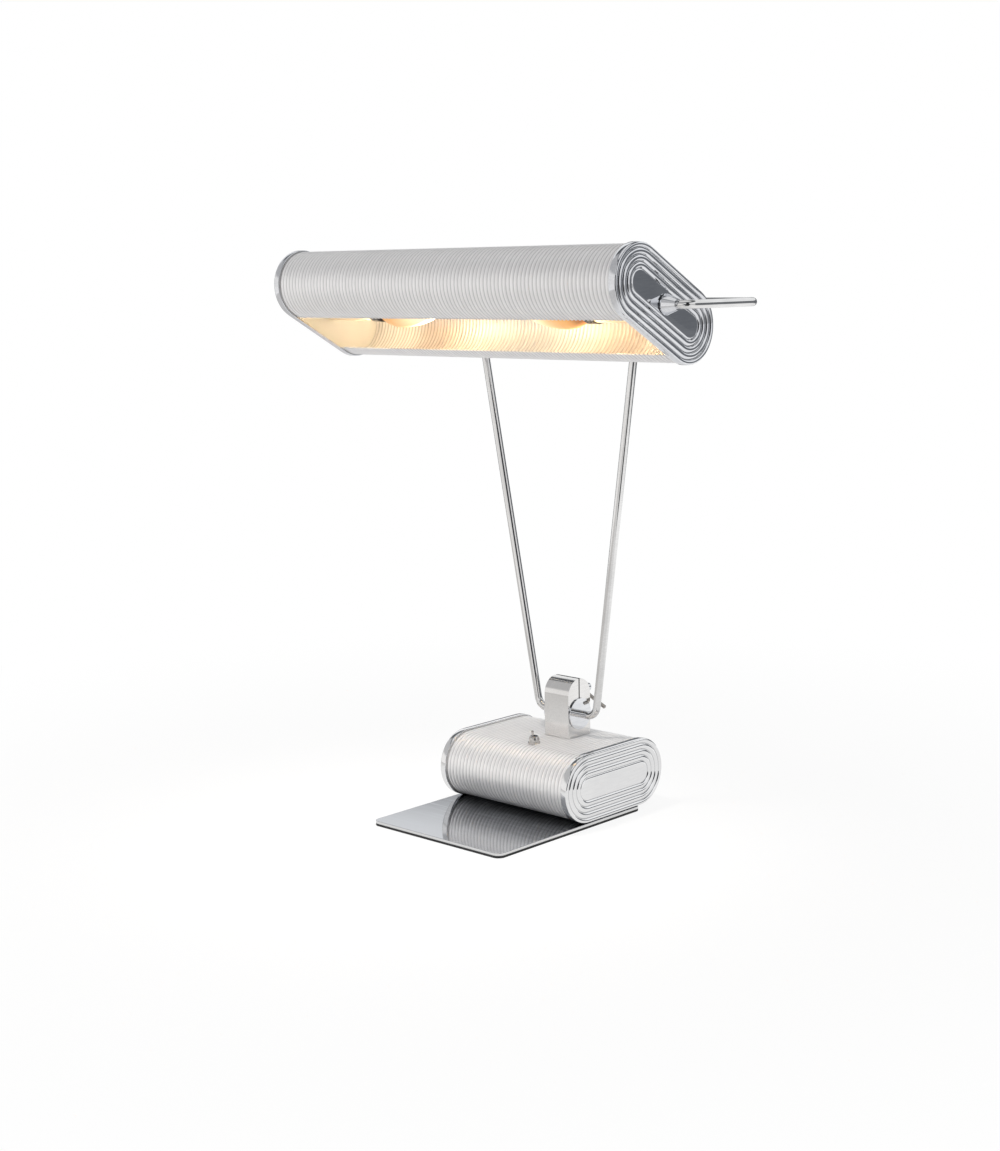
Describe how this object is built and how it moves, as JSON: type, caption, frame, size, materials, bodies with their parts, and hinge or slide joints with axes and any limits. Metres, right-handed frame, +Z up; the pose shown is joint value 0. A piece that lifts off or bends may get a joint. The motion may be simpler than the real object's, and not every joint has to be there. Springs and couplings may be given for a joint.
{
  "type": "desk lamp",
  "caption": "Table lamp with a ribbed base on a steel plate, a split clamp block, a V-shaped tube frame and a long ribbed shade that turns about two bulbs.",
  "frame": {"origin": "centre of the underside of the pad that the lamp stands on", "axes": "+Z up, X along the shade and the base body, -Y towards the front, where the shade hangs forward of the frame"},
  "size_m": [0.38, 0.1904, 0.4338],
  "materials": {
    "pad_rubber": "matt",
    "plate_steel": "polished",
    "inner_steel": "plain",
    "dark_fibre": "matt",
    "base_ribs": "satin, ribbed",
    "shade_ribs": "satin, ribbed",
    "cap_chrome": "polished",
    "terminal_plastic": "matt",
    "brass": "plain",
    "gland_plastic": "matt",
    "block_satin": "satin",
    "bright_chrome": "polished",
    "tube_chrome": "polished",
    "switch_plastic": "matt",
    "holder_sleeve": "satin",
    "holder_porcelain": "glazed",
    "ring_black": "gloss",
    "bulb_glass": "opal, lit"
  },
  "bodies": {
    "base": {"plate_pad": "pad_rubber", "base_plate": "plate_steel", "plate_screws": "inner_steel", "plate_spacers": "dark_fibre", "base_shell": "base_ribs", "base_cap_left": "cap_chrome", "base_cap_right": "cap_chrome", "base_ballast": "inner_steel", "terminal_block": "terminal_plastic", "terminal_screws": "brass", "cord_gland": "gland_plastic", "gland_nut": "gland_plastic", "top_stiffener": "inner_steel", "knuckle_screws": "inner_steel", "knuckle_block": "block_satin", "switch_body": "switch_plastic", "switch_washers": "bright_chrome", "switch_nut": "bright_chrome"},
    "frame": {"knuckle_barrel": "block_satin", "knuckle_discs": "bright_chrome", "frame_tube_left": "tube_chrome", "frame_tube_right": "tube_chrome", "hub_cone_left": "bright_chrome", "hub_cone_right": "bright_chrome", "pivot_nipple_left": "brass", "pivot_nipple_right": "brass", "wave_washer_left": "inner_steel", "wave_washer_right": "inner_steel", "nipple_nut_left": "brass", "nipple_nut_right": "brass", "lampholder_left": "holder_sleeve", "lampholder_right": "holder_sleeve", "holder_insert_left": "holder_porcelain", "holder_insert_right": "holder_porcelain", "holder_ring_left": "ring_black", "holder_ring_right": "ring_black", "bulb_cap_left": "brass", "bulb_cap_right": "brass", "bulb_glass_left": "bulb_glass", "bulb_glass_right": "bulb_glass"},
    "shade": {"shade_shell": "shade_ribs", "shade_cap_left": "cap_chrome", "shade_cap_right": "cap_chrome", "pivot_washer_left": "dark_fibre", "pivot_washer_right": "dark_fibre"},
    "switch_lever": {"switch_lever": "bright_chrome"},
    "clamp_lever": {"clamp_screw": "bright_chrome", "clamp_bar": "bright_chrome"}
  },
  "joints": [
    {"name": "frame_lean", "type": "hinge", "parent": "base", "child": "frame", "pos_m": [0.008, 0.0615, 0.0736], "axis": [1, 0, 0], "range_deg": [-25, 45]},
    {"name": "shade_turn", "type": "hinge", "parent": "frame", "child": "shade", "pos_m": [0, -0.0195, 0.392], "axis": [1, 0, 0], "continuous": true},
    {"name": "switch_throw", "type": "hinge", "parent": "base", "child": "switch_lever", "pos_m": [0.008, 0.022, 0.0565], "axis": [1, 0, 0], "range_deg": [-25, 0]},
    {"name": "clamp_turn", "type": "hinge", "parent": "base", "child": "clamp_lever", "pos_m": [0.008, 0.0615, 0.0891], "axis": [0, 1, 0], "range_deg": [-55, 35]}
  ]
}
